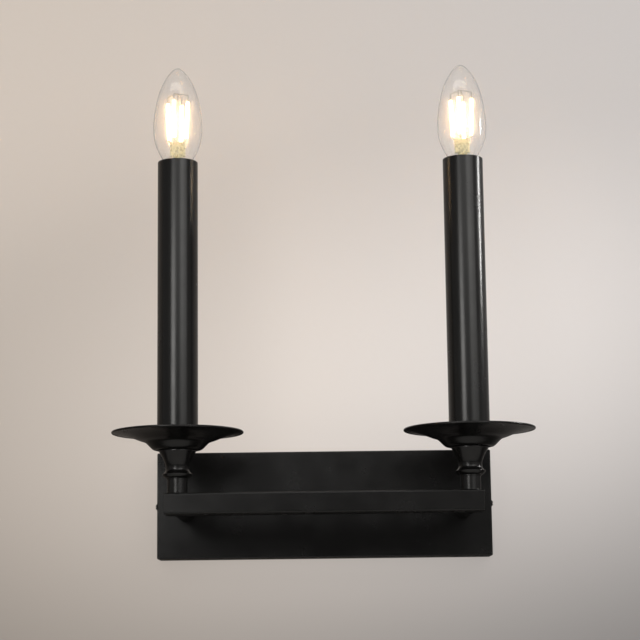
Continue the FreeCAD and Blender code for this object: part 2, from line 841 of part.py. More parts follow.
def make_connector(place, depth):
    # three push-in ports face upwards; the third is left free for the wire from the wall
    half_w = connector_width / 2
    half_t = connector_thickness / 2
    body = block(place - half_w, place + half_w, -depth - half_t, -depth + half_t,
                 connector_top - connector_height, connector_top)
    body = round_edges(body, upward, connector_edge_radius)
    for step in port_steps:
        body = body.cut(upright(place + step * port_pitch, -depth, connector_top - port_depth,
                                connector_top + overrun, lead_radius + port_clearance))
    return body


def ring_terminal(x, y, z, bore, way):
    # a ring that lies against a face at y, with a crimp barrel above it; way is +1 or -1 along Y
    near = min(y, y + way * terminal_thickness)
    far = near + terminal_thickness
    ring_radius = bore + earth_ring_width
    ring = level(x, z, near, far, ring_radius)
    barrel_z = z + ring_radius + terminal_neck
    neck = block(x - terminal_neck_width / 2, x + terminal_neck_width / 2, near, far, z, barrel_z + barrel_length)
    barrel_y = y + way * barrel_radius
    barrel = upright(x, barrel_y, barrel_z, barrel_z + barrel_length, barrel_radius)
    body = ring.fuse(neck).fuse(barrel)
    body = body.cut(level(x, z, near - overrun, far + overrun, bore))
    hole = upright(x, barrel_y, barrel_z - overrun, barrel_z + barrel_length + overrun,
                   earth_lead_radius + thread_clearance)
    return body.cut(hole), Vector(x, barrel_y, barrel_z)


def make_earth():
    low_face = -bracket_thickness
    first, start = ring_terminal(earth_screw_place, low_face, 0, earth_screw_radius + thread_clearance, -1)
    high_face = canopy_inner_front + washer_thickness
    second, end = ring_terminal(candle_x, high_face, bar_z, hole_radius, 1)
    crest = max(start.z, end.z) + barrel_length + earth_lead_rise / 2
    route = [start, Vector(start.x, start.y, crest), Vector(end.x, end.y, crest), end]
    lead = wire(route, earth_lead_radius, lead_bend_radius)
    return [first, second], lead


def make_earth_screw():
    seat = -bracket_thickness - terminal_thickness - washer_thickness
    return screw(Vector(earth_screw_place, seat, 0), Vector(0, -1, 0), earth_screw_radius, -seat,
                 earth_head_radius, earth_head_height)


def make_earth_washer():
    seat = -bracket_thickness - terminal_thickness
    return level_tube(earth_screw_place, 0, seat - washer_thickness, seat,
                      earth_washer_radius, earth_screw_radius + thread_clearance)


def main():
    os.makedirs("parts", exist_ok=True)
    write("canopy", make_canopy())
    write("wall_bracket", make_bracket())
    write("side_screws", *make_side_screws())
    write("cross_bar", make_bar())
    write("arm_washers", *[toothed_washer(s * candle_x, canopy_inner_front, bar_z) for s in sides])
    nut_seat = canopy_inner_front + washer_thickness
    write("arm_nuts", level_nut(-candle_x, nut_seat, bar_z),
          level_nut(candle_x, nut_seat + terminal_thickness, bar_z))
    write("bar_nuts", *[upright_nut(s * candle_x, candle_y, bar_inner_top - nut_height) for s in sides])
    write("pan_washers", *[make_pan_washer(s) for s in sides])
    write("pan_nuts", *[upright_nut(s * candle_x, candle_y, pan_floor + washer_thickness) for s in sides])
    write("live_connector", make_connector(-connector_place, live_lead_depth))
    write("neutral_connector", make_connector(connector_place, neutral_lead_depth))
    terminals, earth_lead = make_earth()
    write("earth_terminals", *terminals)
    write("earth_lead", earth_lead)
    write("earth_screw", make_earth_screw())
    write("earth_washer", make_earth_washer())
    for name, side in zip(("left", "right"), sides):
        write(name + "_bar_cap", make_bar_cap(side))
        write(name + "_arm", make_arm(side))
        write(name + "_arm_nipple", make_arm_nipple(side))
        write(name + "_stem", make_stem(side))
        write(name + "_cup", make_cup(side))
        write(name + "_drip_pan", make_pan(side))
        write(name + "_threaded_tube", make_rod(side))
        write(name + "_socket_base", make_socket_base(side))
        write(name + "_socket_body", make_socket_body(side))
        write(name + "_socket_core", make_socket_core(side))
        write(name + "_socket_shell", make_socket_shell(side))
        write(name + "_socket_contact", make_socket_contact(side))
        write(name + "_leads", *make_leads(side))
        write(name + "_candle_sleeve", make_sleeve(side))
        write(name + "_bulb_glass", make_bulb_glass(side))
        write(name + "_bulb_cap", make_bulb_cap(side))
        write(name + "_bulb_insulator", make_bulb_insulator(side))
        write(name + "_bulb_tip", make_bulb_tip(side))
        write(name + "_bulb_mount", make_bulb_mount(side))
        write(name + "_bulb_filaments", *make_bulb_filaments(side))
        write(name + "_bulb_wires", make_bulb_wires(side))


main()
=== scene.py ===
import json
import math

import bmesh
import bpy
from mathutils import Matrix, Vector


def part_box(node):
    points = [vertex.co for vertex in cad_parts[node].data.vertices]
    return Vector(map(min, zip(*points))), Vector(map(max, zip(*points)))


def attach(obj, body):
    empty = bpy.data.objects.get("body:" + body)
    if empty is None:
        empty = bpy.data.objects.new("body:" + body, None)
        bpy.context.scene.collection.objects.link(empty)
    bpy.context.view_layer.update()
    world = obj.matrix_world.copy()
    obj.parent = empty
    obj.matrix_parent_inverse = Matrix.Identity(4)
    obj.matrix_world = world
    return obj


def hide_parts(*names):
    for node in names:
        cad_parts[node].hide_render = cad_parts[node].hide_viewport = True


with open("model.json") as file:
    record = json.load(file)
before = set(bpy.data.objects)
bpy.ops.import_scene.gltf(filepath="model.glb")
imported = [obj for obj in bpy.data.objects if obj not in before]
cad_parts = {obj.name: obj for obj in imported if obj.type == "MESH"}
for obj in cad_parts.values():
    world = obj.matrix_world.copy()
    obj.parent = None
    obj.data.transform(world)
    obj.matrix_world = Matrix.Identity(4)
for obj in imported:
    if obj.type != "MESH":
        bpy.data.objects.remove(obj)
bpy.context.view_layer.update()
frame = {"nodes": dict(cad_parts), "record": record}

scene = bpy.context.scene
mm = 0.001
tiny = 0.001 * mm  # points closer than this are one
sides = ("left", "right")
record = frame["record"]
bodyOf = {node: body for body, nodes in record["behaviour"]["bodies"].items() for node in nodes}
slotOf = {part["node"]: part["material_slot"] for part in record["subparts"]}


# Places, read from the solids

def nodeBox(node):
    low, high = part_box(node)
    return Vector(low), Vector(high)


def boxCentre(node):
    low, high = nodeBox(node)
    return (low + high) / 2


def boxRadius(node):
    low, high = nodeBox(node)
    return (high.x - low.x) / 2


# Material helpers

def feed(tree, node, inputs):
    # each input is a plain value or the output of another node
    for name, value in inputs.items():
        if isinstance(value, bpy.types.NodeSocket):
            tree.links.new(value, node.inputs[name])
        else:
            node.inputs[name].default_value = value


def addNode(tree, kind, inputs=None, **settings):
    node = tree.nodes.new(kind)
    for key, value in settings.items():
        setattr(node, key, value)
    feed(tree, node, inputs or {})
    return node


def startMaterial(name, inputs):
    material = bpy.data.materials.new(name)
    material.use_nodes = True
    tree = material.node_tree
    shader = tree.nodes["Principled BSDF"]
    feed(tree, shader, inputs)
    place = addNode(tree, "ShaderNodeTexCoord").outputs["Object"]
    return material, tree, shader, place


def addNoise(tree, place, scale, detail):
    inputs = {"Vector": place, "Scale": scale, "Detail": detail}
    return addNode(tree, "ShaderNodeTexNoise", inputs).outputs["Fac"]


noiseSpan = (0.3, 0.7)  # nearly all of a noise lies in here


def addRange(tree, source, made, span=noiseSpan, smooth=False):
    # turns the two ends of the span into the two values of made
    inputs = {"Value": source, "From Min": span[0], "From Max": span[1], "To Min": made[0], "To Max": made[1]}
    kind = "SMOOTHSTEP" if smooth else "LINEAR"
    return addNode(tree, "ShaderNodeMapRange", inputs, interpolation_type=kind).outputs["Result"]


def addBlend(tree, source, span, first, second):
    # the first colour up to the span, the second one past it
    ramp = addNode(tree, "ShaderNodeValToRGB", {"Fac": source})
    for element, position, colour in zip(ramp.color_ramp.elements, span, (first, second)):
        element.position = position
        element.color = (*colour, 1)
    return ramp.outputs["Color"]


def addMath(tree, operation, first, second):
    return addNode(tree, "ShaderNodeMath", {0: first, 1: second}, operation=operation).outputs["Value"]


def addScaled(tree, colour, share):
    inputs = {0: colour, "Scale": share}
    return addNode(tree, "ShaderNodeVectorMath", inputs, operation="SCALE").outputs["Vector"]


def addBumps(tree, *heights):
    normal = None
    for source, depth in heights:
        inputs = {"Height": source, "Strength": 1.0, "Distance": depth}
        if normal:
            inputs["Normal"] = normal
        normal = addNode(tree, "ShaderNodeBump", inputs).outputs["Normal"]
    return normal


# Satin powder coat on every painted steel piece

satinBlack = {
    "deep": (0.0042, 0.0040, 0.0039),
    "pale": (0.0062, 0.0060, 0.0057),
    "cloudScale": 26.0,
    "cloudSpan": (0.35, 0.7),
    "smearScale": 59.8,
    "roughness": (0.22, 0.28),
    "gloss": 0.35,
    "peelScale": 620.0,
    "peelDepth": 0.012 * mm,
    "grainScale": 2600.0,
    "grainDepth": 0.0035 * mm,
}


def makeSatinBlack(look):
    inputs = {"Specular IOR Level": look["gloss"]}
    material, tree, shader, place = startMaterial("satinBlackCoat", inputs)
    cloud = addNoise(tree, place, look["cloudScale"], detail=5.0)
    smear = addNoise(tree, place, look["smearScale"], detail=4.0)
    peel = addNoise(tree, place, look["peelScale"], detail=1.5)
    grain = addNoise(tree, place, look["grainScale"], detail=2.0)
    feed(tree, shader, {
        "Base Color": addBlend(tree, cloud, look["cloudSpan"], look["deep"], look["pale"]),
        "Roughness": addRange(tree, smear, look["roughness"]),
        "Normal": addBumps(tree, (peel, look["peelDepth"]), (grain, look["grainDepth"])),
    })
    return material


# Bare and plated metals, with fine streaks along X

metals = {
    "zincPlate": {"deep": (0.57, 0.58, 0.60), "pale": (0.67, 0.68, 0.70), "scale": 190.0,
                  "roughness": (0.33, 0.41), "streak": 900.0, "depth": 0.006 * mm},
    "blackOxide": {"deep": (0.020, 0.020, 0.021), "pale": (0.035, 0.034, 0.034), "scale": 300.0,
                   "roughness": (0.28, 0.38), "streak": 1600.0, "depth": 0.003 * mm},
    "brightBrass": {"deep": (0.62, 0.42, 0.17), "pale": (0.80, 0.58, 0.27), "scale": 90.0,
                    "roughness": (0.20, 0.34), "streak": 1200.0, "depth": 0.003 * mm},
    "nickelPlate": {"deep": (0.62, 0.60, 0.56), "pale": (0.78, 0.76, 0.72), "scale": 120.0,
                    "roughness": (0.16, 0.30), "streak": 1500.0, "depth": 0.002 * mm},
    "solderGrey": {"deep": (0.38, 0.38, 0.37), "pale": (0.60, 0.60, 0.58), "scale": 500.0,
                   "roughness": (0.35, 0.55), "streak": 1800.0, "depth": 0.02 * mm},
    "drawnWire": {"deep": (0.30, 0.29, 0.27), "pale": (0.48, 0.46, 0.43), "scale": 400.0,
                  "roughness": (0.30, 0.42), "streak": 2500.0, "depth": 0.001 * mm},
}
cloudSpan = (0.35, 0.65)
streakStretch = (0.06, 1.0, 1.0)


def makeMetal(name, look):
    material, tree, shader, place = startMaterial(name, {"Metallic": 1.0})
    cloud = addNoise(tree, place, look["scale"], detail=4.0)
    stretch = addNode(tree, "ShaderNodeMapping", {"Vector": place, "Scale": streakStretch})
    streak = addNoise(tree, stretch.outputs["Vector"], look["streak"], detail=2.0)
    feed(tree, shader, {
        "Base Color": addBlend(tree, cloud, cloudSpan, look["deep"], look["pale"]),
        "Roughness": addRange(tree, cloud, look["roughness"]),
        "Normal": addBumps(tree, (streak, look["depth"])),
    })
    return material


# Moulded plastics, insulation and glazed parts

plastics = {
    "holderBlack": {"deep": (0.016, 0.016, 0.018), "pale": (0.026, 0.026, 0.028), "scale": 160.0,
                    "roughness": (0.42, 0.55), "grain": 2200.0, "depth": 0.006 * mm},
    "holderCream": {"deep": (0.62, 0.57, 0.47), "pale": (0.74, 0.70, 0.60), "scale": 220.0,
                    "roughness": (0.28, 0.40), "grain": 1800.0, "depth": 0.003 * mm},
    "capGlass": {"deep": (0.008, 0.008, 0.012), "pale": (0.016, 0.016, 0.022), "scale": 400.0,
                 "roughness": (0.10, 0.20), "grain": 900.0, "depth": 0.004 * mm},
    "leadBlack": {"deep": (0.015, 0.015, 0.016), "pale": (0.028, 0.028, 0.029), "scale": 120.0,
                  "roughness": (0.34, 0.46), "grain": 1500.0, "depth": 0.004 * mm},
    "leadGreen": {"deep": (0.06, 0.22, 0.05), "pale": (0.10, 0.32, 0.07), "scale": 120.0,
                  "roughness": (0.34, 0.46), "grain": 1500.0, "depth": 0.004 * mm},
    "connectorAmber": {"deep": (0.62, 0.22, 0.05), "pale": (0.74, 0.30, 0.08), "scale": 90.0,
                       "roughness": (0.20, 0.32), "grain": 1200.0, "depth": 0.002 * mm},
}


def makePlastic(name, look):
    material, tree, shader, place = startMaterial(name, {"IOR": 1.5})
    cloud = addNoise(tree, place, look["scale"], detail=3.0)
    grain = addNoise(tree, place, look["grain"], detail=2.0)
    feed(tree, shader, {
        "Base Color": addBlend(tree, cloud, cloudSpan, look["deep"], look["pale"]),
        "Roughness": addRange(tree, cloud, look["roughness"]),
        "Normal": addBumps(tree, (grain, look["depth"])),
    })
    return material


# Clear lamp glass with a little dust, the pressed glass inside it and the lit filaments

lampGlass = {
    "ior": 1.47,
    "waveScale": 55.0,
    "waveDepth": 0.02 * mm,
    "dustScale": 5200.0,
    "dustSpan": (0.655, 0.70),
    "roughness": (0.0, 0.72),
}
pressGlass = {
    "colour": (0.72, 0.68, 0.43),
    "ior": 1.5,
    "clear": 0.35,
    "roughness": (0.18, 0.42),
    "streakScale": 700.0,
    "streakDepth": 0.03 * mm,
}
litFilament = {
    "skin": (0.95, 0.62, 0.16),
    "gap": (1.0, 0.50, 0.16),
    "core": (1.0, 0.74, 0.42),
    "bandScale": 262.0,  # one light band for each chip under the coating
    "bandSpan": (0.1, 0.7),
    "bandWaver": 0.3,
    "strength": (14.0, 23.0),
}


def makeGlass(look):
    inputs = {"Base Color": (1, 1, 1, 1), "IOR": look["ior"], "Transmission Weight": 1.0}
    material, tree, shader, place = startMaterial("clearLampGlass", inputs)
    wave = addNoise(tree, place, look["waveScale"], detail=1.0)
    dust = addNoise(tree, place, look["dustScale"], detail=0.0)
    feed(tree, shader, {
        "Roughness": addRange(tree, dust, look["roughness"], look["dustSpan"]),
        "Normal": addBumps(tree, (wave, look["waveDepth"])),
    })
    return material


def makePressGlass(look):
    inputs = {"Base Color": (*look["colour"], 1), "IOR": look["ior"], "Transmission Weight": look["clear"]}
    material, tree, shader, place = startMaterial("pressedLampGlass", inputs)
    streak = addNoise(tree, place, look["streakScale"], detail=3.0)
    feed(tree, shader, {
        "Roughness": addRange(tree, streak, look["roughness"]),
        "Normal": addBumps(tree, (streak, look["streakDepth"])),
    })
    return material


def makeFilament(look):
    inputs = {"Base Color": (*look["skin"], 1), "Roughness": 0.5}
    material, tree, shader, place = startMaterial("litFilament", inputs)
    inputs = {"Vector": place, "Scale": look["bandScale"], "Distortion": look["bandWaver"]}
    wave = addNode(tree, "ShaderNodeTexWave", inputs, wave_type="BANDS", bands_direction="Z")
    band = wave.outputs["Fac"]
    feed(tree, shader, {
        "Emission Color": addBlend(tree, band, look["bandSpan"], look["gap"], look["core"]),
        "Emission Strength": addRange(tree, band, look["strength"]),
    })
    return material


def makeMaterials():
    made = {
        "satinBlack": makeSatinBlack(satinBlack),
        "glass": makeGlass(lampGlass),
        "pressGlass": makePressGlass(pressGlass),
        "filament": makeFilament(litFilament),
    }
    for name, look in metals.items():
        made[name] = makeMetal(name, look)
    for name, look in plastics.items():
        made[name] = makePlastic(name, look)
    return made


materials = makeMaterials()
slotMaterial = {
    "black_paint": "satinBlack",
    "screw_black": "blackOxide",
    "zinc_steel": "zincPlate",
    "brass_shell": "brightBrass",
    "holder_black": "holderBlack",
    "holder_core": "holderCream",
    "cap_nickel": "nickelPlate",
    "clear_glass": "glass",
    "press_glass": "pressGlass",
    "insulator_black": "capGlass",
    "solder_tip": "solderGrey",
    "filament_amber": "filament",
    "wire_steel": "drawnWire",
    "lead_black": "leadBlack",
    "lead_green": "leadGreen",
    "connector_clear": "connectorAmber",
}
print("materials made:", len(materials))


# Mesh helpers

def placePiece(name, bm, node, sharp=32):
    bmesh.ops.recalc_face_normals(bm, faces=bm.faces)
    mesh = bpy.data.meshes.new(name)
    bm.to_mesh(mesh)
    bm.free()
    mesh.shade_smooth()
    mesh.set_sharp_from_angle(angle=math.radians(sharp))
    piece = bpy.data.objects.new(name, mesh)
    scene.collection.objects.link(piece)
    mesh.materials.append(materials[slotMaterial[slotOf[node]]])
    even = piece.modifiers.new("evenNormals", "WEIGHTED_NORMAL")
    even.keep_sharp = True
    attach(piece, bodyOf[node])
    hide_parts(node)
    return piece


def placeUpright(name, bm, node, height=0, sharp=32):
    # moves a mesh made about the Z axis to its solid's own axis
    centre = boxCentre(node)
    bmesh.ops.translate(bm, vec=(centre.x, centre.y, height), verts=bm.verts)
    return placePiece(name, bm, node, sharp)


def spinOutline(bm, outline, steps, closed=True):
    # turns an outline of (radius, height) about the Z axis
    verts = [bm.verts.new((r, 0, z)) for r, z in outline]
    ends = verts[1:] + verts[:1] if closed else verts[1:]
    edges = [bm.edges.new(pair) for pair in zip(verts, ends)]
    bmesh.ops.spin(bm, geom=verts + edges, cent=(0, 0, 0), axis=(0, 0, 1), angle=math.tau,
                   steps=steps, use_merge=True)
    bmesh.ops.remove_doubles(bm, verts=bm.verts, dist=tiny / 2)


def arcPoints(start, middle, end, steps):
    # points on the circle through three points, ends included
    ax, ay = start
    bx, by = middle
    cx, cy = end
    double = 2 * (ax * (by - cy) + bx * (cy - ay) + cx * (ay - by))
    squares = [x**2 + y**2 for x, y in (start, middle, end)]
    ux = (squares[0] * (by - cy) + squares[1] * (cy - ay) + squares[2] * (ay - by)) / double
    uy = (squares[0] * (cx - bx) + squares[1] * (ax - cx) + squares[2] * (bx - ax)) / double
    radius = math.hypot(ax - ux, ay - uy)
    first = math.atan2(ay - uy, ax - ux)
    half = (math.atan2(by - uy, bx - ux) - first + math.pi) % math.tau - math.pi
    last = math.atan2(cy - uy, cx - ux)
    sweep = (last - first) % math.tau
    if half < 0:
        sweep -= math.tau
    angles = [first + sweep * i / steps for i in range(steps + 1)]
    return [(ux + radius * math.cos(a), uy + radius * math.sin(a)) for a in angles]


outward, inward, upward, downward = (1, 0), (-1, 0), (0, 1), (0, -1)
roundDepth = 1 - math.sqrt(0.5)  # how far from its corner a quarter round's middle lies, along each side


def quarterRound(corner, radius, first, last, steps):
    # rounds an outline's corner; first and last lead from the corner to the ends of the round
    def away(alongFirst, alongLast):
        return tuple(corner[k] + radius * (first[k] * alongFirst + last[k] * alongLast) for k in (0, 1))

    return arcPoints(away(1, 0), away(roundDepth, roundDepth), away(0, 1), steps)


def smoothLine(points, steps):
    # an even curve through the points
    padded = [points[0]] + list(points) + [points[-1]]
    line = []
    for p0, p1, p2, p3 in zip(padded, padded[1:], padded[2:], padded[3:]):
        for i in range(steps):
            t = i / steps
            weights = (-t**3 + 2 * t**2 - t, 3 * t**3 - 5 * t**2 + 2, -3 * t**3 + 4 * t**2 + t, t**3 - t**2)
            pairs = list(zip(weights, (p0, p1, p2, p3)))
            line.append(tuple(sum(w * p[k] for w, p in pairs) / 2 for k in (0, 1)))
    return line + [points[-1]]


def offsetLine(line, distance):
    # the same line, moved sideways to its left
    moved = []
    for i, point in enumerate(line):
        before = line[max(i - 1, 0)]
        after = line[min(i + 1, len(line) - 1)]
        dx = after[0] - before[0]
        dy = after[1] - before[1]
        length = math.hypot(dx, dy)
        moved.append((point[0] - dy / length * distance, point[1] + dx / length * distance))
    return moved


def ofKind(geom, kind):
    return [g for g in geom if isinstance(g, kind)]


def everything(bm):
    return bm.verts[:] + bm.edges[:] + bm.faces[:]


cutThread = (0.32, 0.50, 0.82)  # shares of a turn where the crest starts, the crest ends and the root starts
rolledSteps = 12


def threadShape(look):
    # radius and share of the pitch, over one turn
    root = look["root"]
    crest = look["crest"]
    if look["rolled"]:
        middle = (root + crest) / 2
        swing = (crest - root) / 2
        shares = [i / rolledSteps for i in range(rolledSteps + 1)]
        return [(middle - swing * math.cos(math.tau * share), share) for share in shares]
    rise, fall, foot = cutThread
    return [(root, 0), (crest, rise), (crest, fall), (root, foot), (root, 1)]


def addThread(bm, look, low, high, steps):
    # a helical thread about the Z axis, cut off level at both ends
    pitch = look["pitch"]
    verts = [bm.verts.new((r, 0, low + (share - 1) * pitch)) for r, share in threadShape(look)]
    edges = [bm.edges.new(pair) for pair in zip(verts, verts[1:])]
    bmesh.ops.spin(bm, geom=verts + edges, cent=(0, 0, 0), axis=(0, 0, 1), dvec=(0, 0, pitch / steps),
                   angle=math.tau, steps=steps)
    turns = 1
    while turns < (high - low) / pitch + 2:  # each round doubles the turns
        copied = bmesh.ops.duplicate(bm, geom=everything(bm))["geom"]
        bmesh.ops.translate(bm, vec=(0, 0, turns * pitch), verts=ofKind(copied, bmesh.types.BMVert))
        turns *= 2
    bmesh.ops.remove_doubles(bm, verts=bm.verts, dist=pitch / 100)
    for height, side in ((low, -1), (high, 1)):
        bmesh.ops.bisect_plane(bm, geom=everything(bm), dist=tiny / 10, plane_co=(0, 0, height),
                               plane_no=(0, 0, side), clear_outer=True)


def openRim(bm, height):
    return [e for e in bm.edges if e.is_boundary and all(abs(v.co.z - height) < tiny for v in e.verts)]


def addBore(bm, radius, low, high, steps=48):
    # joins a plain bore to the open ends of what is in the mesh
    rims = [openRim(bm, low), openRim(bm, high)]
    made = bmesh.ops.create_circle(bm, cap_ends=False, radius=radius, segments=steps)["verts"]
    bmesh.ops.translate(bm, vec=(0, 0, low), verts=made)
    lowRing = list({e for v in made for e in v.link_edges})
    wall = bmesh.ops.extrude_edge_only(bm, edges=lowRing)["geom"]
    highVerts = ofKind(wall, bmesh.types.BMVert)
    bmesh.ops.translate(bm, vec=(0, 0, high - low), verts=highVerts)
    highRing = [e for e in ofKind(wall, bmesh.types.BMEdge) if all(v in highVerts for v in e.verts)]
    bmesh.ops.bridge_loops(bm, edges=rims[0] + lowRing)
    bmesh.ops.bridge_loops(bm, edges=rims[1] + highRing)


flatAngle = 0.3  # faces that meet at less than this, in degrees, are one
cornerAngle = 40


def mergedCopy(node):
    bm = bmesh.new()
    bm.from_mesh(frame["nodes"][node].data)
    bmesh.ops.remove_doubles(bm, verts=bm.verts, dist=tiny)
    bmesh.ops.dissolve_limit(bm, angle_limit=math.radians(flatAngle), verts=bm.verts, edges=bm.edges)
    return bm


def refineNode(name, node, look):
    # a merged copy of a solid, with its sharp edges broken
    bm = mergedCopy(node)
    if look.get("bevel"):
        limit = math.radians(look.get("angle", cornerAngle))
        corners = [e for e in bm.edges if e.is_manifold and e.calc_face_angle() > limit]
        bmesh.ops.bevel(bm, geom=corners, offset=look["bevel"], offset_type="OFFSET", segments=2,
                        profile=0.5, affect="EDGES", clamp_overlap=True, material=-1)
    return placePiece(name, bm, node)


# Candle sleeves

sleeveLook = {"wall": 1.2 * mm, "lip": 0.35 * mm, "steps": 128}


def makeSleeve(side):
    look = sleeveLook
    node = side + "_candle_sleeve"
    low, high = nodeBox(node)
    outer = boxRadius(node)
    inner = outer - look["wall"]
    lip = look["lip"]
    outline = quarterRound((outer, low.z), lip, inward, upward, steps=3)
    outline += quarterRound((outer, high.z), lip, downward, inward, steps=3)
    outline += quarterRound((inner, high.z), lip, outward, downward, steps=3)
    outline += quarterRound((inner, low.z), lip, upward, outward, steps=3)
    bm = bmesh.new()
    spinOutline(bm, outline, look["steps"])
    return placeUpright("sleeve_" + side, bm, node)


# Drip pans: shares run from the flat floor's edge to the middle of the rolled rim

panLook = {
    "slope": [
        (0.000, 0.000), (0.040, 0.006), (0.078, 0.045), (0.120, 0.132), (0.180, 0.280), (0.232, 0.402),
        (0.272, 0.466), (0.318, 0.505), (0.390, 0.562), (0.462, 0.632), (0.550, 0.715), (0.642, 0.790),
        (0.757, 0.862), (0.888, 0.922), (1.000, 0.952),
    ],
    "sheet": 1.0 * mm,
    "rim": 0.78 * mm,
    "rollStart": -40,
    "rollSweep": 260,
    "rollSteps": 12,
    "seat": 14.9 * mm,
    "hole": 5.2 * mm,
    "steps": 144,
}


def makePan(side):
    look = panLook
    node = side + "_drip_pan"
    low, high = nodeBox(node)
    sheet = look["sheet"]
    rim = look["rim"]
    seat = look["seat"]
    hole = look["hole"]
    width = boxRadius(node) - rim - seat
    rise = high.z - rim - low.z
    under = smoothLine([(seat + width * r, low.z + rise * z) for r, z in look["slope"]], steps=4)
    over = offsetLine(under, sheet)
    over[0] = (under[0][0], under[0][1] + sheet)
    rimCentre = ((under[-1][0] + over[-1][0]) / 2, (under[-1][1] + over[-1][1]) / 2)
    start = math.atan2(under[-1][1] - rimCentre[1], under[-1][0] - rimCentre[0])
    steps = look["rollSteps"]
    angles = [look["rollStart"] + look["rollSweep"] * i / steps for i in range(steps + 1)]
    roll = [start + math.radians(angle) for angle in angles]
    bead = [(rimCentre[0] + rim * math.cos(a), rimCentre[1] + rim * math.sin(a)) for a in roll]
    outline = [(hole, low.z)] + under[:-1] + bead + over[-2::-1] + [(hole, low.z + sheet)]
    bm = bmesh.new()
    spinOutline(bm, outline, look["steps"])
    return placeUpright("dripPan_" + side, bm, node)


# Cups: a bead with a hollow slope above it, a neck and a flare; heights are shares of the cup

cupLook = {
    "footTop": 0.034, "swell": 0.093, "bead": 0.171, "crest": 0.195, "skirt": 0.254, "neck": 0.346,
    "neckEnd": 0.449, "flare": 0.717, "band": 0.951,
    "footRadius": 7.675 * mm, "beadRadius": 10.5 * mm, "neckRadius": 8.25 * mm, "hole": 5.2 * mm,
    "swellShare": 0.72, "skirtShare": 0.28, "flareShare": 0.41,
    "lip": 0.5 * mm, "edge": 0.09 * mm, "crestEdge": 0.4 * mm, "steps": 112,
}


def makeCup(side):
    look = cupLook
    node = side + "_cup"
    low, high = nodeBox(node)
    radius = boxRadius(node)
    foot = look["footRadius"]
    bead = look["beadRadius"]
    neck = look["neckRadius"]
    edge = look["edge"]
    crestEdge = look["crestEdge"]

    def at(name):
        return low.z + (high.z - low.z) * look[name]

    swell = (foot + (bead - foot) * look["swellShare"], at("swell"))
    skirt = (neck + (bead - neck) * look["skirtShare"], at("skirt"))
    flare = (neck + (radius - neck) * look["flareShare"], at("flare"))
    outline = [(foot - edge, low.z), (foot, low.z + edge)]
    outline += arcPoints((foot, at("footTop")), swell, (bead - edge, at("bead") - edge), steps=8)
    outline.append((bead, at("bead") + edge))
    outline += quarterRound((bead, at("crest")), crestEdge, downward, inward, steps=5)[:-1]
    outline += arcPoints((bead - crestEdge, at("crest")), skirt, (neck, at("neck")), steps=10)
    outline += arcPoints((neck, at("neckEnd")), flare, (radius, at("band")), steps=14)
    outline += quarterRound((radius, high.z), look["lip"], downward, inward, steps=4)
    outline += [(look["hole"], high.z), (look["hole"], low.z)]
    bm = bmesh.new()
    spinOutline(bm, outline, look["steps"])
    return placeUpright("cup_" + side, bm, node, sharp=24)


# Stems and arms: tubes with a small weld at the bar

tubeLook = {"stemBore": 5.2 * mm, "armWall": 1.2 * mm, "weld": 0.9 * mm, "steps": 96}


def weldedTube(bm, radius, bore, length):
    # the weld lies at the low end
    outline = [(bore, 0)]
    outline += quarterRound((radius, 0), tubeLook["weld"], outward, upward, steps=5)
    outline += [(radius, length), (bore, length)]
    spinOutline(bm, outline, tubeLook["steps"])


def makeStem(side):
    node = side + "_stem"
    low, high = nodeBox(node)
    bm = bmesh.new()
    weldedTube(bm, boxRadius(node), tubeLook["stemBore"], high.z - low.z)
    return placeUpright("stem_" + side, bm, node, low.z)


def makeArm(side):
    node = side + "_arm"
    low, high = nodeBox(node)
    radius = boxRadius(node)
    bm = bmesh.new()
    weldedTube(bm, radius, radius - tubeLook["armWall"], high.y - low.y)
    centre = boxCentre(node)
    matrix = Matrix.Translation((centre.x, low.y, centre.z)) @ Matrix.Rotation(math.radians(-90), 4, "X")
    bmesh.ops.transform(bm, matrix=matrix, verts=bm.verts)
    return placePiece("arm_" + side, bm, node)


for side in sides:
    makeSleeve(side)
    makePan(side)
    makeCup(side)
    makeStem(side)
    makeArm(side)
print("candles, pans and arms made")


# Lamp glass: shares of its radius and of its height above the cap

glassLook = {
    "shares": [
        (0.418, 0.022), (0.475, 0.052), (0.600, 0.108), (0.752, 0.170), (0.905, 0.252), (0.985, 0.330),
        (1.000, 0.412), (0.992, 0.485), (0.940, 0.585), (0.857, 0.685), (0.757, 0.768), (0.622, 0.842),
        (0.445, 0.912), (0.225, 0.975), (0.000, 1.000),
    ],
    "smoothing": 6,
    "wall": 0.5 * mm,
    "neckStep": 1.45 * mm,  # how much narrower the glass is inside the cap
    "steps": 128,
}


def makeGlassBulb(side):
    look = glassLook
    node = side + "_bulb_glass"
    low, high = nodeBox(node)
    capTop = nodeBox(side + "_bulb_cap")[1].z
    radius = boxRadius(node)
    wall = look["wall"]
    shape = [(radius * r, capTop + (high.z - capTop) * z) for r, z in look["shares"]]
    overTip = shape + [(-shape[-2][0], shape[-2][1])]  # one point past the tip makes the curve level there
    outside = smoothLine(overTip, look["smoothing"])[:look["smoothing"] * (len(shape) - 1) + 1]
    inside = offsetLine(outside, wall)
    inside[-1] = (0, high.z - wall)
    neck = outside[0][0] - look["neckStep"]
    skin = [(neck - wall, low.z), (neck, low.z), (neck, capTop)] + outside
    lining = inside[::-1] + [(neck - wall, capTop), (neck - wall, low.z)]
    bm = bmesh.new()
    spinOutline(bm, skin, look["steps"], closed=False)
    spinOutline(bm, lining, look["steps"], closed=False)
    bmesh.ops.remove_doubles(bm, verts=bm.verts, dist=tiny)
    piece = placeUpright("bulbGlass_" + side, bm, node, sharp=50)
    piece.visible_shadow = False
    return piece


# Lamp caps, with a rolled thread

capLook = {"pitch": 2.82 * mm, "depth": 0.7 * mm, "turns": 4, "skirt": 0.8 * mm, "wall": 0.35 * mm,
           "threadSteps": 48, "steps": 96}


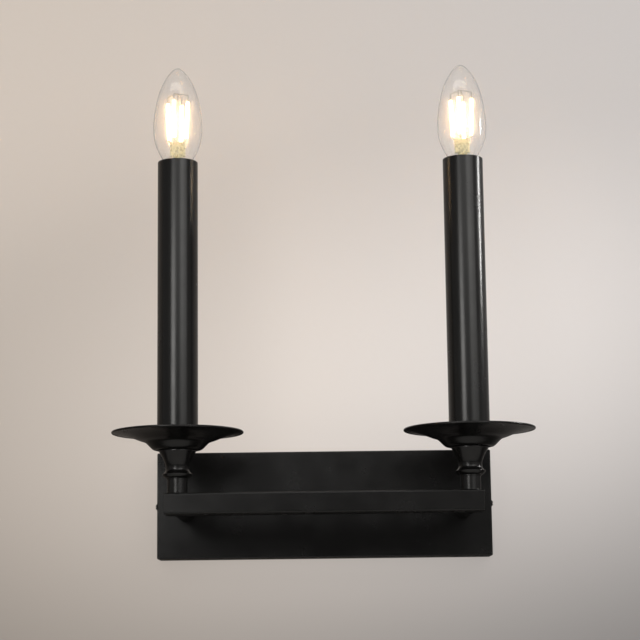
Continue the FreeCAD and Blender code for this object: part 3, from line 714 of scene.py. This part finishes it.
def makeBulbCap(side):
    look = capLook
    node = side + "_bulb_cap"
    low, high = nodeBox(node)
    crest = boxRadius(node)
    root = crest - look["depth"]
    bore = root - look["wall"]
    skirt = look["skirt"]
    length = look["pitch"] * look["turns"]
    start = low.z + (high.z - low.z - length) / 2 - skirt
    shape = {"pitch": look["pitch"], "crest": crest, "root": root, "rolled": True}
    bm = bmesh.new()
    addThread(bm, shape, start, start + length, look["threadSteps"])
    addBore(bm, (bore + root) / 2, start, start + length)
    outline = [(bore, low.z), (root, low.z), (root, high.z - 2 * skirt), (crest, high.z - skirt),
               (crest, high.z), (bore, high.z)]
    spinOutline(bm, outline, look["steps"])
    return placeUpright("bulbCap_" + side, bm, node)


# Filaments: each coat stops short of its ends, where bare metal lugs come out

filamentLook = {"coat": 1.25 * mm, "lug": 0.5 * mm, "topLug": 4.0 * mm, "lowLug": 0.9 * mm,
                "overlap": 0.6 * mm, "rounding": 0.6, "rimAngle": 60, "coatSteps": 20, "lugSteps": 12}


def filamentEnds(side):
    # lower and upper end of each filament, read from the solids
    bm = mergedCopy(side + "_bulb_filaments")
    loose = set(bm.verts)
    ends = []
    while loose:
        found = [loose.pop()]
        for vert in found:
            near = {edge.other_vert(vert) for edge in vert.link_edges} & loose
            loose -= near
            found += near
        middle = sum(v.co.z for v in found) / len(found)
        low = [v.co.copy() for v in found if v.co.z < middle]
        high = [v.co.copy() for v in found if v.co.z >= middle]
        ends.append((sum(low, Vector()) / len(low), sum(high, Vector()) / len(high)))
    bm.free()
    return sorted(ends, key=lambda pair: tuple(pair[0]))


def addRod(bm, start, end, radius, steps):
    look = filamentLook
    along = end - start
    matrix = Matrix.Translation((start + end) / 2) @ along.to_track_quat("Z", "Y").to_matrix().to_4x4()
    made = bmesh.ops.create_cone(bm, cap_ends=True, segments=steps, radius1=radius, radius2=radius,
                                 depth=along.length, matrix=matrix)["verts"]
    limit = math.radians(look["rimAngle"])
    rims = list({e for v in made for e in v.link_edges if e.calc_face_angle() > limit})
    bmesh.ops.bevel(bm, geom=rims, offset=radius * look["rounding"], offset_type="OFFSET", segments=3,
                    profile=0.5, affect="EDGES", material=-1)


def makeLampLight(side):
    look = filamentLook
    coats = bmesh.new()
    wires = mergedCopy(side + "_bulb_wires")
    for low, high in filamentEnds(side):
        along = (high - low).normalized()
        coatLow = low + along * look["lowLug"]
        coatHigh = high - along * look["topLug"]
        hidden = along * look["overlap"]
        addRod(coats, coatLow, coatHigh, look["coat"], look["coatSteps"])
        addRod(wires, low, coatLow + hidden, look["lug"], look["lugSteps"])
        addRod(wires, coatHigh - hidden, high, look["lug"], look["lugSteps"])
    placePiece("filaments_" + side, coats, side + "_bulb_filaments")
    placePiece("lampWires_" + side, wires, side + "_bulb_wires")


# Threaded tubes that carry the lamp holders

tubeThread = {"pitch": 1.0 * mm, "depth": 0.54 * mm, "bore": 3.5 * mm, "steps": 24}


def makeThreadedTube(side):
    look = tubeThread
    node = side + "_threaded_tube"
    low, high = nodeBox(node)
    crest = boxRadius(node)
    shape = {"pitch": look["pitch"], "crest": crest, "root": crest - look["depth"], "rolled": False}
    bm = bmesh.new()
    addThread(bm, shape, low.z, high.z, look["steps"])
    addBore(bm, look["bore"], low.z, high.z)
    return placeUpright("threadedTube_" + side, bm, node)


for side in sides:
    makeGlassBulb(side)
    makeBulbCap(side)
    makeLampLight(side)
    makeThreadedTube(side)
print("lamps and threads made")


# Pieces that keep their solid's shape, with their edges broken

refined = {
    "canopy": {"bevel": 0.18 * mm, "angle": 60},
    "wall_bracket": {"bevel": 0.2 * mm, "angle": 60},
    "cross_bar": {"bevel": 0.28 * mm, "angle": 60},
    "left_bar_cap": {}, "right_bar_cap": {},
    "side_screws": {"bevel": 0.08 * mm, "angle": 50},
    "arm_washers": {"bevel": 0.08 * mm}, "arm_nuts": {"bevel": 0.12 * mm},
    "bar_nuts": {"bevel": 0.12 * mm}, "pan_nuts": {"bevel": 0.12 * mm}, "pan_washers": {"bevel": 0.1 * mm},
    "live_connector": {"bevel": 0.25 * mm}, "neutral_connector": {"bevel": 0.25 * mm},
    "earth_terminals": {"bevel": 0.08 * mm}, "earth_screw": {"bevel": 0.1 * mm},
    "earth_washer": {"bevel": 0.1 * mm}, "earth_lead": {},
}
for side in sides:
    for name in ("arm_nipple", "socket_base", "socket_body", "socket_core", "socket_shell",
                 "socket_contact", "leads", "bulb_insulator", "bulb_tip", "bulb_mount"):
        refined[side + "_" + name] = {"clear": name == "bulb_mount"}
for node, look in refined.items():
    piece = refineNode(node + "_piece", node, look)
    if look.get("clear"):
        piece.visible_shadow = False
print("other pieces made:", len(refined))


# Wall and floor

stageLook = {
    "wallWarm": (0.887, 0.785, 0.694),
    "wallCool": (0.838, 0.792, 0.767),
    "wallAcross": (-0.30, 0.30),
    "wallUp": (-0.243, 0.34),
    "wallShade": 0.30,  # painted shade: how bright its lower part is beside its upper part
    "poolPlace": (0.029, 0, 0.023),  # a painted oval pool of light
    "poolTurn": -19.5,
    "poolSize": (0.493, 1, 0.272),
    "poolShade": 0.518,  # painted shade: how bright the wall is outside the pool
    "wallPaint": 0.60,  # how much of the wall's tone is paint, which takes shadows
    "wallGlow": 0.99,  # how much is seen of its own, directly and through glass
    "wallMirror": 0.5,  # the share of that glow that gloss mirrors, from the heights in mirrorUp
    "mirrorUp": (0.02, 0.08),
    "recess": 4.0 * mm,  # the wall is open behind the canopy, this far inside its rim
    "floorColour": (0.62, 0.60, 0.57),
    "floorGlow": 0.55,
    "floorHeight": -1.2,
    "reach": 3.0,
}
mattStage = {"Roughness": 0.9, "Specular IOR Level": 0.0}


def seenDirectly(tree):
    # 1 where the camera sees a surface, also through glass
    ray = addNode(tree, "ShaderNodeLightPath").outputs
    return addMath(tree, "MAXIMUM", ray["Is Camera Ray"], ray["Is Transmission Ray"])


def addGlow(tree, shader, strength, mirrored=1.0):
    # light of its own, seen directly and, by the share in mirrored, in gloss
    glossy = addNode(tree, "ShaderNodeLightPath").outputs["Is Glossy Ray"]
    seen = addMath(tree, "MAXIMUM", seenDirectly(tree), addMath(tree, "MULTIPLY", glossy, mirrored))
    feed(tree, shader, {"Emission Strength": addMath(tree, "MULTIPLY", seen, strength)})


def hideBack(tree, shader):
    # a view from behind looks through
    back = addNode(tree, "ShaderNodeNewGeometry").outputs["Backfacing"]
    clear = addNode(tree, "ShaderNodeBsdfTransparent").outputs["BSDF"]
    mix = addNode(tree, "ShaderNodeMixShader", {"Fac": back, 1: shader.outputs["BSDF"], 2: clear})
    feed(tree, tree.nodes["Material Output"], {"Surface": mix.outputs["Shader"]})


def makeWallPaint(look):
    material, tree, shader, place = startMaterial("paleWall", mattStage)
    parts = addNode(tree, "ShaderNodeSeparateXYZ", {"Vector": place}).outputs
    inputs = {"Vector": place, "Location": look["poolPlace"], "Scale": look["poolSize"],
              "Rotation": (0, math.radians(look["poolTurn"]), 0)}
    oval = addNode(tree, "ShaderNodeMapping", inputs, vector_type="TEXTURE").outputs["Vector"]
    near = addNode(tree, "ShaderNodeTexGradient", {"Vector": oval}, gradient_type="SPHERICAL").outputs["Fac"]
    across = addRange(tree, parts["X"], (0, 1), look["wallAcross"], smooth=True)
    up = addRange(tree, parts["Z"], (look["wallShade"], 1), look["wallUp"], smooth=True)
    pool = addRange(tree, near, (look["poolShade"], 1), (0, 1), smooth=True)
    mirrored = addRange(tree, parts["Z"], (0, look["wallMirror"]), look["mirrorUp"], smooth=True)
    tint = addBlend(tree, across, (0, 1), look["wallWarm"], look["wallCool"])
    # painted light: the oval pool and the shade towards the bottom, in both the wall's paint and its glow
    tone = addScaled(tree, tint, addMath(tree, "MULTIPLY", up, pool))
    feed(tree, shader, {"Base Color": addScaled(tree, tone, look["wallPaint"]), "Emission Color": tone})
    addGlow(tree, shader, look["wallGlow"], mirrored)
    hideBack(tree, shader)
    return material


def makeFloorPaint(look):
    colour = (*look["floorColour"], 1)
    inputs = {**mattStage, "Base Color": colour, "Emission Color": colour}
    material, tree, shader = startMaterial("paleFloor", inputs)[:3]
    addGlow(tree, shader, look["floorGlow"])
    return material


def uprightLoop(bm, left, low, right, high):
    # a rectangle of edges in the wall's plane
    corners = ((left, low), (right, low), (right, high), (left, high))
    verts = [bm.verts.new((x, 0, z)) for x, z in corners]
    return [bm.edges.new(pair) for pair in zip(verts, verts[1:] + verts[:1])]


def placeStage(name, bm, material):
    mesh = bpy.data.meshes.new(name)
    bm.to_mesh(mesh)
    bm.free()
    mesh.materials.append(material)
    surface = bpy.data.objects.new(name, mesh)
    scene.collection.objects.link(surface)


def makeStage(look):
    reach = look["reach"]
    height = look["floorHeight"]
    inset = look["recess"]
    low, high = nodeBox("canopy")
    bm = bmesh.new()
    edges = uprightLoop(bm, -reach, height, reach, reach)
    edges += uprightLoop(bm, low.x + inset, low.z + inset, high.x - inset, high.z - inset)
    made = bmesh.ops.bridge_loops(bm, edges=edges)["faces"]
    bm.normal_update()
    bmesh.ops.reverse_faces(bm, faces=[face for face in made if face.normal.y > 0])
    placeStage("stage_wall", bm, makeWallPaint(look))
    bm = bmesh.new()
    bmesh.ops.create_grid(bm, x_segments=1, y_segments=1, size=reach,
                          matrix=Matrix.Translation((0, 0, height)))
    placeStage("stage_floor", bm, makeFloorPaint(look))


# Lights: sheen False keeps one out of gloss, fill False lets it make gloss only

whiteLight = (1.0, 0.985, 0.97)
windowLight = (1.0, 0.98, 0.95)
wallLight = (1.0, 0.96, 0.92)
fittingMiddle = (0, -0.105, 0.1)
lights = {
    "room": {"place": (0.3, -2.6, 0.9), "aim": (0, 0, 0.1), "size": (4.4, 3.2), "power": 64.0,
             "colour": whiteLight, "sheen": False},
    "left": {"place": (-0.50, -1.19, 0.27), "size": (0.42, 0.30), "power": 2.9, "fill": False},
    "middle": {"place": (1.63, -2.43, 0.85), "size": (2.0, 0.9), "power": 15.0, "fill": False},
    "broad": {"place": (0.1, -2.3, 0.95), "size": (3.2, 0.95), "power": 15.0, "fill": False},
    "right": {"place": (0.6, -0.07, 0.32), "aim": (0.1, -0.105, 0.2), "size": (0.035, 0.16), "power": 1.5,
              "colour": (1.0, 0.98, 0.96), "fill": False},
    "behind": {"place": (0.25, 1.5, 0.55), "aim": (0, 0, 0), "size": (1.4, 1.1), "power": 22.0,
               "colour": whiteLight},
    "leftSide": {"place": (-1.9, -1.0, 0.45), "size": (1.9, 1.0), "power": 1.8, "colour": wallLight,
                 "fill": False},
    "rightSide": {"place": (1.9, -0.8, 0.45), "size": (1.6, 1.0), "power": 1.6, "colour": wallLight,
                  "fill": False},
    "above": {"place": (-0.2, -1.1, 1.8), "aim": (0, -0.1, 0), "size": (2.0, 0.5), "power": 10.0,
              "fill": False},
}
roomLook = {"colour": (0.80, 0.77, 0.74), "light": 0.075, "seen": 0.80}


def makeLights():
    for name, look in lights.items():
        lamp = bpy.data.lights.new(name, "AREA")
        lamp.shape = "RECTANGLE"
        lamp.size, lamp.size_y = look["size"]
        lamp.energy = look["power"]
        lamp.color = look.get("colour", windowLight)
        holder = bpy.data.objects.new(name, lamp)
        holder.location = look["place"]
        aim = Vector(look.get("aim", fittingMiddle)) - Vector(look["place"])
        holder.rotation_euler = aim.to_track_quat("-Z", "Y").to_euler()
        holder.visible_glossy = look.get("sheen", True)
        holder.visible_diffuse = look.get("fill", True)
        holder.visible_camera = False
        holder.visible_transmission = False
        scene.collection.objects.link(holder)


def makeRoom(look):
    world = bpy.data.worlds.new("paleRoom")
    world.use_nodes = True
    tree = world.node_tree
    strength = addRange(tree, seenDirectly(tree), (look["light"], look["seen"]), span=(0, 1))
    feed(tree, tree.nodes["Background"], {"Color": (*look["colour"], 1), "Strength": strength})
    scene.world = world
    scene.view_settings.view_transform = "Standard"


# The camera stands where its lines meet the photograph's; angles in degrees, lens and sensor in millimetres

cameraLook = {"place": (-0.00092, -1.39921, -0.09782), "up": 9.7251, "roll": 0.6855, "turn": 0.1434,
              "lens": 104.626, "sensor": 36.0}


def makeCamera(look):
    lens = bpy.data.cameras.new("camera")
    lens.lens = look["lens"]
    lens.sensor_width = look["sensor"]
    camera = bpy.data.objects.new("camera", lens)
    camera.location = look["place"]
    camera.rotation_euler = [math.radians(a) for a in (90 + look["up"], look["roll"], look["turn"])]
    scene.collection.objects.link(camera)
    scene.camera = camera


makeStage(stageLook)
makeLights()
makeRoom(roomLook)
makeCamera(cameraLook)
print("stage, lights and camera made")
